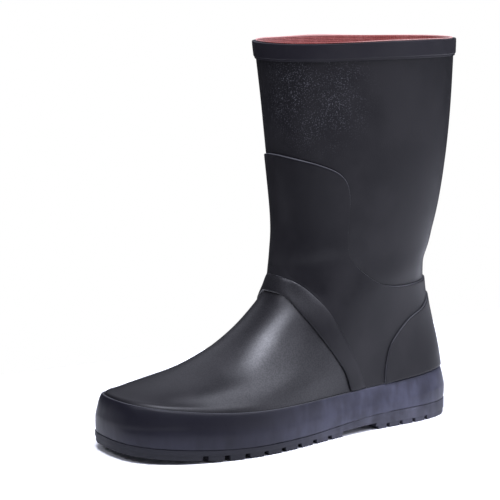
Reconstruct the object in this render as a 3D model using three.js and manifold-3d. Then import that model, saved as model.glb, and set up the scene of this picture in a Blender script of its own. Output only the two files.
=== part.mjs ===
// A left rubber boot, in millimetres, +Z up. The toe points to -Y and the outer side of the foot
// to +X. It stands on the flat treads of its heel and forefoot.
import * as THREE from "three";
import Module from "manifold-3d";
import { mergeVertices } from "three/addons/utils/BufferGeometryUtils.js";

const wasm = await Module();
wasm.setup();

// Driving dimensions of the foot
const soleLength = 300;
const ballWidth = 109;
const heelWidth = 71.4;
const throatHeight = 122;
const toeSpring = 5.8;
const springPower = 1.5;
const springStart = -50;

// Driving dimensions of the leg
const bootHeight = 295.5;
const collarLength = 170;
const collarWidth = 112;
const collarSetback = 65.8;
const ankleLength = 136.5;
const ankleWidth = 82;
const ankleSetback = 60.2;

// Thicknesses of the layers, and the gaps between two pieces and under a layer on a curved wall
const fit = 0.3;
const layerGap = 0.4;
const upperWall = 2.2;
const foxingThickness = 3.2;
const overlayThickness = 1;
const counterThickness = 0.9;
const instepThickness = 1.9;
const collarThickness = 1.3;
const insoleThickness = 3;

// Sole: height of its seat under the forefoot and under the heel, tread and lugs
const forefootSeat = 7.5;
const heelSeat = 12.3;
const treadDepth = 3.8;
const treadInset = 0.6;
const soleInset = 0.2;
const forefootPitch = 16.05;
const forefootFirstGap = -99.4;
const forefootGaps = 8;
const forefootGapWidth = 5;
const heelPitch = 13.1;
const heelFirstGap = 73.1;
const heelGaps = 4;
const heelGapWidth = 3.6;
const archStart = 26.5;
const archEnd = 61;
const archFrontHeight = 4.3;
const archRearHeight = 5.4;

// Trims
const collarHeight = 13;

// How many steps the surfaces are cut into
const stepsAround = 48;
const widestStep = 7.5;

const footHalf = soleLength / 2 - foxingThickness - fit;
const ballHalf = ballWidth / 2 - foxingThickness - fit;
const heelHalf = heelWidth / 2 - foxingThickness - fit;

// Rings of the foot, from the sole up. front and back: where a ring crosses the centre line, as
// shares of the foot's half length. frontUp and backUp: its heights there, and dip: how far its
// sides hang lower, as shares of the throat's height. toe and ball, waist and heel: how wide the
// ring's oval is at these places, as shares of the half ball and half heel widths. blunt and
// round: how square the oval is at the toe and heel. lean: how much of the foot's curve it has.
const footRings = [
  { front: -0.988, frontUp: 0.064, back: 0.979, backUp: 0.103, dip: 0.018,
    toe: 1.120, ball: 0.970, waist: 1.030, heel: 1.200, blunt: 2.9, round: 3.1, lean: 1.00 },
  { front: -0.989, frontUp: 0.185, back: 0.985, backUp: 0.207, dip: 0.032,
    toe: 1.120, ball: 0.970, waist: 1.040, heel: 1.200, blunt: 2.8, round: 3.0, lean: 1.00 },
  { front: -0.975, frontUp: 0.298, back: 0.980, backUp: 0.311, dip: 0.040,
    toe: 1.090, ball: 0.960, waist: 1.040, heel: 1.180, blunt: 2.7, round: 2.8, lean: 1.00 },
  { front: -0.948, frontUp: 0.318, back: 0.973, backUp: 0.402, dip: 0.035,
    toe: 1.025, ball: 0.940, waist: 1.050, heel: 1.160, blunt: 2.6, round: 2.65, lean: 0.95 },
  { front: -0.886, frontUp: 0.344, back: 0.964, backUp: 0.480, dip: 0.029,
    toe: 0.970, ball: 0.910, waist: 1.070, heel: 1.150, blunt: 2.5, round: 2.5, lean: 0.85 },
  { front: -0.777, frontUp: 0.379, back: 0.949, backUp: 0.553, dip: 0.020,
    toe: 0.940, ball: 0.870, waist: 1.090, heel: 1.145, blunt: 2.35, round: 2.4, lean: 0.65 },
  { front: -0.637, frontUp: 0.424, back: 0.930, backUp: 0.635, dip: 0.016,
    toe: 0.905, ball: 0.830, waist: 1.110, heel: 1.150, blunt: 2.2, round: 2.3, lean: 0.50 },
  { front: -0.482, frontUp: 0.502, back: 0.911, backUp: 0.721, dip: 0.012,
    toe: 0.860, ball: 0.790, waist: 1.135, heel: 1.160, blunt: 2.1, round: 2.2, lean: 0.35 },
  { front: -0.330, frontUp: 0.602, back: 0.896, backUp: 0.811, dip: 0.008,
    toe: 0.825, ball: 0.775, waist: 1.160, heel: 1.175, blunt: 2.0, round: 2.1, lean: 0.20 },
  { front: -0.196, frontUp: 0.722, back: 0.885, backUp: 0.918, dip: 0,
    toe: 0.800, ball: 0.780, waist: 1.200, heel: 1.200, blunt: 2.0, round: 2.0, lean: 0.10 },
];

// Rings of the leg, from the ankle to the collar. out: how far the ring has grown from the ankle's
// oval to the collar's, back: the same for its back point. frontUp and backUp: heights, as shares
// of the way from the throat to the collar. bow: how far the front stands behind the straight
// line, and calf: how far the back stands outside it, as shares of the ankle's length.
const legRings = [
  { out: 0.00, frontUp: -0.096, backUp: 0.023, bow: -0.027, calf: 0.010 },
  { out: 0.02, frontUp: 0.000, backUp: 0.110, bow: 0.012, calf: 0.037 },
  { out: 0.13, frontUp: 0.104, backUp: 0.219, bow: 0.040, calf: 0.060 },
  { out: 0.33, frontUp: 0.248, backUp: 0.357, bow: 0.060, calf: 0.060 },
  { out: 0.59, frontUp: 0.478, backUp: 0.559, bow: 0.049, calf: 0.049 },
  { out: 0.82, frontUp: 0.749, backUp: 0.784, bow: 0.032, calf: 0.028 },
  { out: 1.00, frontUp: 1.000, backUp: 1.000, bow: 0.004, calf: 0.002 },
];

// Places along a ring, from 0 at its front to 1 at its back, and the sideways curve of the foot
// there, as shares of the half ball width
const widthPlaces = [0.1, 0.35, 0.65, 0.9];
const curvePlaces = [0, 0.1, 0.35, 0.65, 0.9, 1];
const footCurve = [-0.125, -0.05, 0.09, 0.1, 0.036, 0];

const lerp = (from, to, share) => from + (to - from) * share;

// Smooth curve through values at rising places: a natural cubic spline
function spline(places, values) {
  const count = places.length;
  const second = new Array(count).fill(0);
  const carry = new Array(count).fill(0);
  for (let i = 1; i < count - 1; i++) {
    const before = places[i] - places[i - 1];
    const after = places[i + 1] - places[i];
    const share = before / (before + after);
    const pivot = share * second[i - 1] + 2;
    const bend = (values[i + 1] - values[i]) / after - (values[i] - values[i - 1]) / before;
    second[i] = (share - 1) / pivot;
    carry[i] = ((6 * bend) / (before + after) - share * carry[i - 1]) / pivot;
  }
  second[count - 1] = 0;
  for (let i = count - 2; i >= 0; i--) {
    second[i] = second[i] * second[i + 1] + carry[i];
  }
  return (place) => {
    let i = 0;
    while (i < count - 2 && place > places[i + 1]) i += 1;
    const width = places[i + 1] - places[i];
    const right = (place - places[i]) / width;
    const left = 1 - right;
    const curved = (left ** 3 - left) * second[i] + (right ** 3 - right) * second[i + 1];
    return left * values[i] + right * values[i + 1] + (curved * width ** 2) / 6;
  };
}

// A ring in millimetres, worked out from its row of shares
function footRing(row) {
  return {
    front: row.front * footHalf,
    frontUp: row.frontUp * throatHeight,
    back: row.back * footHalf,
    backUp: row.backUp * throatHeight,
    dip: row.dip * throatHeight,
    toe: row.toe * ballHalf,
    ball: row.ball * ballHalf,
    waist: row.waist * heelHalf,
    heel: row.heel * heelHalf,
    blunt: row.blunt,
    round: row.round,
    lean: row.lean,
  };
}

function legRing(row) {
  const half = lerp(ankleWidth, collarWidth, row.out) / 2;
  const length = lerp(ankleLength, collarLength, row.out);
  const middle = lerp(ankleSetback, collarSetback, row.out);
  return {
    front: middle - length / 2 + row.bow * ankleLength,
    frontUp: lerp(throatHeight, bootHeight, row.frontUp),
    back: middle + length / 2 + row.calf * ankleLength,
    backUp: lerp(throatHeight, bootHeight, row.backUp),
    dip: 0,
    toe: half,
    ball: half,
    waist: half,
    heel: half,
    blunt: 2,
    round: 2,
    lean: 0,
  };
}

const rings = [...footRings.map(footRing), ...legRings.map(legRing)];
const topLevel = rings.length - 1;
const foxingLevel = 2;
const aboveFoxing = foxingLevel + 0.06;
const bandSeamGap = 0.035;
const degreesPerLevel = 8;
const ringNumbers = rings.map((ring, number) => number);
const columns = Object.keys(rings[0]);
const columnCurve = Object.fromEntries(
  columns.map((name) => [name, spline(ringNumbers, rings.map((ring) => ring[name]))]),
);
const curveOfFoot = spline(curvePlaces, footCurve.map((share) => share * ballHalf));

// Rise of the sole and the whole foot towards the toe
function spring(y) {
  const share = Math.max(0, (springStart - y) / (springStart + soleLength / 2));
  return toeSpring * share ** springPower;
}

// Top of the outsole, on which upper and insole stand, before the toe's rise
const seatRiseStart = -0.03 * soleLength;
const seatRiseEnd = 0.26 * soleLength;
function seatHeight(y) {
  return lerp(forefootSeat, heelSeat, THREE.MathUtils.smoothstep(y, seatRiseStart, seatRiseEnd));
}

// Height of a ring at a share of its length, before the toe's rise
function ringHeight(ring, share) {
  return lerp(ring.frontUp, ring.backUp, share) - ring.dip * 4 * share * (1 - share);
}

// How closely a level of the upper follows the seat: 1 at its lower edge, 0 from the first ring up
const seating = (level) => Math.max(0, 1 - level) ** 2;

// Point of the upper's outer face. around: angle from the toe over the outer side to the heel and
// back over the inner side. level: ring number from the sole, 0, to the collar, topLevel.
function skinPoint(around, level) {
  const ring = {};
  for (const name of columns) ring[name] = columnCurve[name](level);
  const share = (1 - Math.cos(around)) / 2;
  const y = lerp(ring.front, ring.back, share);
  const widths = [ring.toe, ring.ball, ring.waist, ring.heel];
  const wide = spline(widthPlaces, widths)(THREE.MathUtils.clamp(share, 0.02, 0.98));
  const power = share < 0.5 ? ring.blunt : ring.round;
  const oval = Math.max(0, 1 - Math.abs(1 - 2 * share) ** power) ** (1 / power);
  const side = Math.sign(Math.sin(around));
  const x = ring.lean * curveOfFoot(share) + side * wide * oval;
  const toSeat = seating(level) * (seatHeight(y) + fit - ringHeight(rings[0], share));
  return new THREE.Vector3(x, y, ringHeight(ring, share) + toSeat + spring(y));
}

// Outward direction of the upper's outer face
const angleStep = 0.02;
const levelStep = 0.04;
function skinNormal(around, level) {
  const low = Math.max(0, level - levelStep);
  const high = Math.min(topLevel, level + levelStep);
  const along = skinPoint(around + angleStep, level).sub(skinPoint(around - angleStep, level));
  const up = skinPoint(around, high).sub(skinPoint(around, low));
  return along.cross(up).normalize();
}

// The same point, moved out of the face by a distance
function offsetPoint(around, level, out) {
  return skinPoint(around, level).addScaledVector(skinNormal(around, level), out);
}

// Level at which the face reaches a height, at an angle
function levelAtHeight(around, height) {
  let low = 0;
  let high = topLevel;
  for (let i = 0; i < 30; i++) {
    const middle = (low + high) / 2;
    if (skinPoint(around, middle).z < height) low = middle;
    else high = middle;
  }
  return (low + high) / 2;
}

const angles = Array.from({ length: stepsAround }, (_, i) => (i * 2 * Math.PI) / stepsAround);

// Mesh from points and triangles
function meshGeometry(points, triangles) {
  const geometry = new THREE.BufferGeometry();
  const flat = points.flatMap((point) => [point.x, point.y, point.z]);
  geometry.setAttribute("position", new THREE.Float32BufferAttribute(flat, 3));
  geometry.setIndex(triangles);
  return geometry;
}

// Closed body of closed loops, each joined to the next and the last to the first
function ringBody(loops) {
  const size = loops[0].length;
  const triangles = [];
  for (let i = 0; i < loops.length; i++) {
    const next = (i + 1) % loops.length;
    for (let j = 0; j < size; j++) {
      const beside = (j + 1) % size;
      const a = i * size + j;
      const b = i * size + beside;
      const c = next * size + beside;
      const d = next * size + j;
      triangles.push(a, b, c, a, c, d);
    }
  }
  return meshGeometry(loops.flat(), triangles);
}

// Triangles of a lid over a loop that runs up one side of the boot and down the other. They face
// along the loop's right-hand side.
function lidTriangles(first, size) {
  const triangles = [];
  for (let j = 0; j < size / 2; j++) {
    const a = first + j;
    const b = first + j + 1;
    const c = first + ((size - j - 1) % size);
    const d = first + ((size - j) % size);
    if (j > 0) triangles.push(a, b, d);
    if (j < size / 2 - 1) triangles.push(b, c, d);
  }
  return triangles;
}

// Closed body of a stack of loops, with a lid under the first and one over the last
function stackBody(loops) {
  const size = loops[0].length;
  const last = (loops.length - 1) * size;
  const triangles = [];
  for (let i = 0; i < loops.length - 1; i++) {
    for (let j = 0; j < size; j++) {
      const a = i * size + j;
      const b = i * size + ((j + 1) % size);
      triangles.push(a, b, b + size, a, b + size, a + size);
    }
  }
  const under = lidTriangles(0, size);
  for (let i = 0; i < under.length; i += 3) triangles.push(under[i], under[i + 2], under[i + 1]);
  triangles.push(...lidTriangles(last, size));
  return meshGeometry(loops.flat(), triangles);
}

// Closed body of a strip: each section is a loop that goes up its outer face and down its inner
// face, and the two ends are closed
function stripBody(sections) {
  const size = sections[0].length;
  const last = (sections.length - 1) * size;
  const triangles = [];
  for (let i = 0; i < sections.length - 1; i++) {
    for (let j = 0; j < size; j++) {
      const a = i * size + j;
      const b = i * size + ((j + 1) % size);
      triangles.push(a, a + size, b + size, a, b + size, b);
    }
  }
  for (let j = 0; j < size / 2 - 1; j++) {
    const opposite = size - 1 - j;
    triangles.push(j, j + 1, opposite, j + 1, opposite - 1, opposite);
    triangles.push(last + j, last + opposite, last + j + 1);
    triangles.push(last + j + 1, last + opposite, last + opposite - 1);
  }
  return meshGeometry(sections.flat(), triangles);
}

// Solids for joining and cutting
function toSolid(geometry) {
  const plain = geometry.clone();
  plain.deleteAttribute("normal");
  plain.deleteAttribute("uv");
  const merged = mergeVertices(plain, 1e-4);
  return new wasm.Manifold(new wasm.Mesh({
    numProp: 3,
    vertProperties: new Float32Array(merged.attributes.position.array),
    triVerts: new Uint32Array(merged.index.array),
  }));
}

function toGeometry(solid) {
  const mesh = solid.getMesh();
  const geometry = new THREE.BufferGeometry();
  geometry.setAttribute("position", new THREE.Float32BufferAttribute(mesh.vertProperties, 3));
  geometry.setIndex(Array.from(mesh.triVerts));
  return geometry;
}

// Upper: one wall from the sole's seat to the collar, with short steps where it is curved most
const wallSteps = [
  { below: 9, step: 0.5 },
  { below: 12, step: 0.25 },
  { below: 14, step: 0.5 },
  { below: topLevel, step: 1 },
];
const wallLevels = [0];
for (const { below, step } of wallSteps) {
  while (wallLevels.at(-1) < below) wallLevels.push(wallLevels.at(-1) + step);
}
const innerLevels = wallLevels.filter((level) => Number.isInteger(level));

function upperGeometry() {
  const outer = wallLevels.map((level) => angles.map((around) => skinPoint(around, level)));
  const inner = [...innerLevels].reverse().map((level) => angles.map((around) => {
    return offsetPoint(around, level, -upperWall);
  }));
  return ringBody([...outer, ...inner]);
}

// A point moved out along the sole, square to the upper's face, that follows the sole's rise
function sidewaysPoint(around, level, out) {
  const point = skinPoint(around, level);
  const before = spring(point.y) + seating(level) * seatHeight(point.y);
  point.addScaledVector(skinNormal(around, level).setZ(0).normalize(), out);
  point.z += spring(point.y) + seating(level) * seatHeight(point.y) - before;
  return point;
}

// Foxing, the strip around the foot. up: share of its height, thick: share of its thickness.
const foxingProfile = [
  { up: 0.00, thick: 0.86 },
  { up: 0.07, thick: 1.00 },
  { up: 0.42, thick: 1.08 },
  { up: 0.50, thick: 0.88 },
  { up: 0.74, thick: 0.74 },
  { up: 0.95, thick: 0.52 },
  { up: 1.00, thick: 0.28 },
];

function foxingGeometry() {
  const outer = foxingProfile.map(({ up, thick }) => angles.map((around) => {
    return sidewaysPoint(around, up * foxingLevel, fit + thick * foxingThickness);
  }));
  const inner = wallLevels.filter((level) => level <= foxingLevel).reverse();
  const back = inner.map((level) => angles.map((around) => offsetPoint(around, level, fit)));
  return ringBody([...outer, ...back]);
}

// Collar band: a thin bottom edge, then its full thickness up to the rim
const collarProfile = [
  { up: 0.00, thick: 0.45 },
  { up: 0.12, thick: 0.60 },
  { up: 0.15, thick: 1.00 },
  { up: 0.92, thick: 1.00 },
  { up: 1.00, thick: 0.80 },
];

function collarGeometry() {
  const loopAt = (up, out) => angles.map((around) => {
    const height = bootHeight - collarHeight * (1 - up);
    const level = up < 1 ? levelAtHeight(around, height) : topLevel;
    return offsetPoint(around, level, out);
  });
  const outer = collarProfile.map(({ up, thick }) => {
    return loopAt(up, layerGap + thick * collarThickness);
  });
  return ringBody([...outer, loopAt(1, layerGap), loopAt(0, layerGap)]);
}

// Smooth curves through the named columns of a table of edge points. The outer side's rows are
// repeated for the inner side, with the angles turned round.
function edgeCurves(rows, angleColumns) {
  const inner = rows.slice(1).reverse().map((row) => Object.fromEntries(
    Object.entries(row).map(([name, value]) => [name, angleColumns.includes(name) ? -value : value]),
  ));
  const all = [...inner, ...rows];
  const places = all.map((row, number) => number - inner.length);
  return Object.fromEntries(Object.keys(rows[0]).map((name) => {
    return [name, spline(places, all.map((row) => row[name]))];
  }));
}

// Places along a table of edge points, close enough for a piece to follow the curved wall
function finePlaces(rows, angleColumns) {
  const places = [0];
  for (let i = 1; i < rows.length; i++) {
    const turns = angleColumns.map((name) => Math.abs(rows[i][name] - rows[i - 1][name]));
    const steps = Math.ceil(Math.max(...turns, 0.1) / widestStep);
    for (let j = 1; j <= steps; j++) places.push(i - 1 + j / steps);
  }
  return places;
}

// The same places on both sides of the boot
const bothSides = (places) => [...places.slice(1).reverse().map((place) => -place), ...places];

// Instep band, from the foxing over the throat to the foxing: its toe-side and heel-side edges as
// angles in degrees and ring levels, from the throat down to the foxing
const bandRows = [
  { toeAround: 0.0, toeLevel: 10.12, heelAround: 0.0, heelLevel: 10.97 },
  { toeAround: 20.0, toeLevel: 10.00, heelAround: 24.0, heelLevel: 10.74 },
  { toeAround: 40.0, toeLevel: 9.36, heelAround: 40.0, heelLevel: 10.22 },
  { toeAround: 53.0, toeLevel: 8.82, heelAround: 54.0, heelLevel: 9.62 },
  { toeAround: 65.2, toeLevel: 8.11, heelAround: 68.0, heelLevel: 8.90 },
  { toeAround: 82.5, toeLevel: 6.71, heelAround: 85.3, heelLevel: 7.47 },
  { toeAround: 95.2, toeLevel: 5.04, heelAround: 99.8, heelLevel: 5.68 },
  { toeAround: 101.6, toeLevel: 3.63, heelAround: 107.6, heelLevel: 3.79 },
  { toeAround: 104.4, toeLevel: aboveFoxing, heelAround: 111.0, heelLevel: aboveFoxing },
];
const bandEnd = bandRows.length - 1;
const bandPlaces = finePlaces(bandRows, ["toeAround", "heelAround"]);
const bandCurve = edgeCurves(bandRows, ["toeAround", "heelAround"]);

// across: share of the band's width from its toe side, thick: share of its thickness
const bandProfile = [
  { across: 0.00, thick: 0.55 },
  { across: 0.05, thick: 0.90 },
  { across: 0.25, thick: 1.00 },
  { across: 0.60, thick: 1.00 },
  { across: 0.85, thick: 0.85 },
  { across: 1.00, thick: 0.45 },
];

function bandGeometry() {
  const sections = bothSides(bandPlaces).map((place) => {
    const pointAt = (across, out) => {
      const around = lerp(bandCurve.toeAround(place), bandCurve.heelAround(place), across);
      const level = lerp(bandCurve.toeLevel(place), bandCurve.heelLevel(place), across);
      return offsetPoint(THREE.MathUtils.degToRad(around), level, out);
    };
    const outer = bandProfile.map(({ across, thick }) => {
      return pointAt(across, layerGap + thick * instepThickness);
    });
    const inner = [...bandProfile].reverse().map(({ across }) => pointAt(across, layerGap));
    return [...outer, ...inner];
  });
  return stripBody(sections);
}

// Start of a rib of the overlay: from 0 to 1 beside the band, from 1 to 2 above the foxing
function seamPoint(seam) {
  const side = Math.sign(seam);
  const place = Math.abs(seam);
  const clear = bandSeamGap * Math.min(place, 1);
  if (place < 1) {
    return {
      around: side * (bandCurve.heelAround(place * bandEnd) + clear * degreesPerLevel),
      level: bandCurve.heelLevel(place * bandEnd) + bandSeamGap,
    };
  }
  const start = bandCurve.heelAround(bandEnd) + clear * degreesPerLevel;
  return { around: side * lerp(start, 180, place - 1), level: aboveFoxing };
}

// Overlay around the lower leg and the heel. seam: where a rib of the overlay starts, from 0 to 1
// down the band's heel side and from 1 to 2 along the foxing to the heel. around and level: where
// it ends, at the overlay's upper edge.
const overlayRows = [
  { seam: 0.000, around: 0.0, level: 14.15 },
  { seam: 0.090, around: 26.0, level: 14.07 },
  { seam: 0.170, around: 40.0, level: 13.97 },
  { seam: 0.240, around: 51.0, level: 13.84 },
  { seam: 0.290, around: 57.5, level: 13.68 },
  { seam: 0.320, around: 60.0, level: 13.38 },
  { seam: 0.345, around: 59.7, level: 12.93 },
  { seam: 0.375, around: 59.6, level: 12.45 },
  { seam: 0.430, around: 62.0, level: 11.75 },
  { seam: 0.520, around: 68.0, level: 11.18 },
  { seam: 0.650, around: 80.4, level: 10.42 },
  { seam: 0.810, around: 94.0, level: 9.80 },
  { seam: 1.000, around: 109.0, level: 9.37 },
  { seam: 1.220, around: 125.0, level: 9.10 },
  { seam: 1.470, around: 143.0, level: 8.92 },
  { seam: 1.740, around: 162.0, level: 8.83 },
  { seam: 2.000, around: 180.0, level: 8.82 },
];
const overlayCurve = edgeCurves(overlayRows, ["seam", "around"]);
const overlayPlaces = finePlaces(
  overlayRows.map((row) => ({ ...row, start: seamPoint(row.seam).around })),
  ["start", "around"],
);
const overlayRibSteps = 7;

function overlayPoint(place, share, out) {
  const start = seamPoint(overlayCurve.seam(place));
  const around = lerp(start.around, overlayCurve.around(place), share);
  const level = lerp(start.level, overlayCurve.level(place), share);
  return offsetPoint(THREE.MathUtils.degToRad(around), level, out);
}

function overlayGeometry() {
  const places = bothSides(overlayPlaces).slice(1);
  const loopAt = (share, out) => places.map((place) => overlayPoint(place, share, out));
  const shares = Array.from({ length: overlayRibSteps + 1 }, (_, i) => i / overlayRibSteps);
  const outer = shares.map((share) => loopAt(share, layerGap + overlayThickness));
  const inner = [...shares].reverse().map((share) => loopAt(share, layerGap));
  return ringBody([...outer, ...inner]);
}

// Heel counter, over the leg overlay: its upper edge from its front edge to the middle of the heel
const counterRows = [
  { around: 119.3, level: 5.20 },
  { around: 120.2, level: 5.75 },
  { around: 122.0, level: 6.15 },
  { around: 125.0, level: 6.60 },
  { around: 129.5, level: 6.98 },
  { around: 136.5, level: 7.12 },
  { around: 145.0, level: 7.24 },
  { around: 156.0, level: 7.58 },
  { around: 168.0, level: 7.76 },
  { around: 180.0, level: 7.80 },
];
const counterSteps = 6;
const counterPlaces = finePlaces(counterRows, ["around"]);

function counterGeometry() {
  const places = counterRows.map((row, number) => number);
  const aroundAt = spline(places, counterRows.map((row) => row.around));
  const levelAt = spline(places, counterRows.map((row) => row.level));
  const side = counterPlaces.map((place) => ({ around: aroundAt(place), level: levelAt(place) }));
  const mirrored = side.slice(0, -1).reverse();
  const otherSide = mirrored.map(({ around, level }) => ({ around: 360 - around, level }));
  const seat = layerGap + overlayThickness + layerGap;
  const shares = Array.from({ length: counterSteps + 1 }, (_, i) => i / counterSteps);
  const sections = [...side, ...otherSide].map(({ around, level }) => {
    const pointAt = (share, out) => {
      return offsetPoint(THREE.MathUtils.degToRad(around), lerp(aboveFoxing, level, share), out);
    };
    const face = shares.map((share) => pointAt(share, seat + counterThickness));
    const back = [...shares].reverse().map((share) => pointAt(share, seat));
    return [...face, ...back];
  });
  return stripBody(sections);
}

// Insole: a plate on the outsole, inside the upper's wall
function insoleGeometry() {
  const inset = -(upperWall + 2 * fit);
  const loopAt = (rise) => angles.map((around) => {
    const point = sidewaysPoint(around, 0, inset);
    return point.setZ(seatHeight(point.y) + spring(point.y) + fit + rise);
  });
  return stackBody([loopAt(0), loopAt(insoleThickness)]);
}

// A prism across the sole, from its outline in side view: [distance along the foot, height]
function crossPrism(outline) {
  const shape = new THREE.Shape(outline.map(([along, height]) => new THREE.Vector2(along, height)));
  const geometry = new THREE.ExtrudeGeometry(shape, {
    depth: 2 * ballWidth,
    bevelEnabled: false,
  });
  geometry.translate(0, 0, -ballWidth);
  geometry.rotateY(Math.PI / 2);
  geometry.rotateX(Math.PI / 2);
  return geometry;
}

// A groove between two lugs, narrower at its root
function grooveTool(y, width) {
  const root = 0.74 * width;
  const below = -treadDepth;
  const geometry = crossPrism([
    [-width / 2, below], [width / 2, below], [width / 2, 0],
    [root / 2, 0.95 * treadDepth], [-root / 2, 0.95 * treadDepth], [-width / 2, 0],
  ]);
  return geometry.translate(0, y, spring(y));
}

// The hollow of the arch, with a small step down at the heel's front
function archTool() {
  const below = -treadDepth;
  const step = 0.45 * archRearHeight;
  return crossPrism([
    [archStart, below], [archEnd + step, below], [archEnd + step, step], [archEnd, step],
    [archEnd, archRearHeight], [archStart, archFrontHeight],
  ]);
}

function outsoleGeometry() {
  const outline = (out, heightAt) => angles.map((around) => {
    const point = sidewaysPoint(around, 0, fit + foxingThickness - soleInset - out);
    return point.setZ(heightAt(point.y) + spring(point.y));
  });
  const blank = stackBody([
    outline(treadInset, () => 0),
    outline(treadInset, () => treadDepth),
    outline(0, () => treadDepth),
    outline(0, seatHeight),
  ]);
  let sole = toSolid(blank).subtract(toSolid(archTool()));
  for (let i = 0; i < forefootGaps; i++) {
    const y = forefootFirstGap + i * forefootPitch;
    sole = sole.subtract(toSolid(grooveTool(y, forefootGapWidth)));
  }
  for (let i = 0; i < heelGaps; i++) {
    const y = heelFirstGap + i * heelPitch;
    sole = sole.subtract(toSolid(grooveTool(y, heelGapWidth)));
  }
  return toGeometry(sole);
}

const boot = new THREE.Group();

function addPiece(name, geometry, color, roughness) {
  const material = new THREE.MeshStandardMaterial({ color, roughness, metalness: 0 });
  const mesh = new THREE.Mesh(geometry, material);
  mesh.name = name;
  boot.add(mesh);
}

addPiece("outsole", outsoleGeometry(), 0x1b1c20, 0.7);
addPiece("insole", insoleGeometry(), 0x8f4a3e, 0.9);
addPiece("upper", upperGeometry(), 0x17181b, 0.45);
addPiece("foxing", foxingGeometry(), 0x202228, 0.6);
addPiece("instep_band", bandGeometry(), 0x17181b, 0.4);
addPiece("leg_overlay", overlayGeometry(), 0x17181b, 0.45);
addPiece("heel_counter", counterGeometry(), 0x17181b, 0.45);
addPiece("collar_band", collarGeometry(), 0x1a1b1f, 0.5);

// The origin is under the middle of the boot, on the ground
const box = new THREE.Box3().setFromObject(boot);
const middle = box.getCenter(new THREE.Vector3());
boot.position.set(-middle.x, -middle.y, -box.min.z);

export default boot;
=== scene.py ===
"""A left rubber boot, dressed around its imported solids.

Every moulded layer of the boot is a welded, rounded and softly creased copy of its solid. The knit
lining, the fine notches of the tread and all the finishes are made here. Sizes are in millimetres
where a name or a docstring says so, and in metres on the meshes.
"""

from __future__ import annotations

import logging
import math
from collections.abc import Iterable
from dataclasses import dataclass, field
from enum import Enum

import bmesh
import bpy
from bmesh.types import BMEdge, BMesh, BMFace, BMVert
from bpy.types import ID, Material, Mesh, NodeSocket, Object
from mathutils import Matrix, Vector, noise
from mathutils.bvhtree import BVHTree

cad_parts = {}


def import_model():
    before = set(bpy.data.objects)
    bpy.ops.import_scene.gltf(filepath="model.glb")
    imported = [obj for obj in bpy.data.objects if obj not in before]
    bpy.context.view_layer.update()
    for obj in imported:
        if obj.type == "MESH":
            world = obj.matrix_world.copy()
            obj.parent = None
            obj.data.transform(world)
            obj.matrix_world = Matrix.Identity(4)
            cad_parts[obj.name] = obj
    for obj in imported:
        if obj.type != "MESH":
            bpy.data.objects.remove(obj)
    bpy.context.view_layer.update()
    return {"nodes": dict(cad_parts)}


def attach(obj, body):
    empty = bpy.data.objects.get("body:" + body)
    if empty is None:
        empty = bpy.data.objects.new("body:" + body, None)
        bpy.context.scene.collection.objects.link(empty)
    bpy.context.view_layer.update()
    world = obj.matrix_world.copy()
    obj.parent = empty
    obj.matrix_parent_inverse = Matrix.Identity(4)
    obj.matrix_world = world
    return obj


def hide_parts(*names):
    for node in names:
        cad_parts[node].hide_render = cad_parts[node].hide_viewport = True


log = logging.getLogger("boot")

MM = 0.001
BODY = "root"
LEG_MIDDLE = 64.0  # place of the leg's axis along the boot, in millimetres
LEG_HEIGHT = 200.0  # a height well inside the leg, in millimetres
HALF_HEIGHT = 150.0  # between the wall's lower rim and the collar's, in millimetres
RIM_ANGLE = 75.0  # the wall turns at its rims by more than this, in degrees
STEP_AGREEMENT = 0.6  # a step's face agrees with the skin's direction by less than this

Colour = tuple[float, float, float, float]
Point = tuple[float, float, float]
Inputs = dict[int | str, object]
Nodes = dict[str, Object]


def smooth_step(low: float, high: float, value: float) -> float:
    """Soft step from 0 at low to 1 at high."""
    share = min(max((value - low) / (high - low), 0.0), 1.0)
    return share * share * (3.0 - 2.0 * share)


# Shader maths


class Wire:
    """One output of a finish's nodes, which takes part in sums and products."""

    def __init__(self, net: FinishNet, socket: NodeSocket) -> None:
        """Wraps a socket.

        Args:
            net: The finish's nodes that the socket belongs to.
            socket: The output socket.
        """
        self.net = net
        self.socket = socket

    def _maths(self, operation: str, first: Wire | float, second: Wire | float) -> Wire:
        """Adds a Math node and returns its result."""
        return self.net.node("ShaderNodeMath", {"operation": operation}, {0: first, 1: second})

    def __add__(self, other: Wire | float) -> Wire:
        """The sum of this and another value."""
        return self._maths("ADD", self, other)

    def __radd__(self, other: float) -> Wire:
        """The sum of a number and this."""
        return self._maths("ADD", other, self)

    def __rsub__(self, other: float) -> Wire:
        """The difference of a number and this."""
        return self._maths("SUBTRACT", other, self)

    def __mul__(self, other: Wire | float) -> Wire:
        """The product of this and another value."""
        return self._maths("MULTIPLY", self, other)

    def sine(self) -> Wire:
        """The sine of this angle in radians."""
        return self._maths("SINE", self, 0.0)

    def magnitude(self) -> Wire:
        """This value without its sign."""
        return self._maths("ABSOLUTE", self, 0.0)

    def between(self, low: float, high: float) -> Wire:
        """Soft step of this value, from 0 at low to 1 at high."""
        return self.net.node(
            "ShaderNodeMapRange",
            {"interpolation_type": "SMOOTHSTEP"},
            {"Value": self, "From Min": low, "From Max": high},
        )


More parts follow.
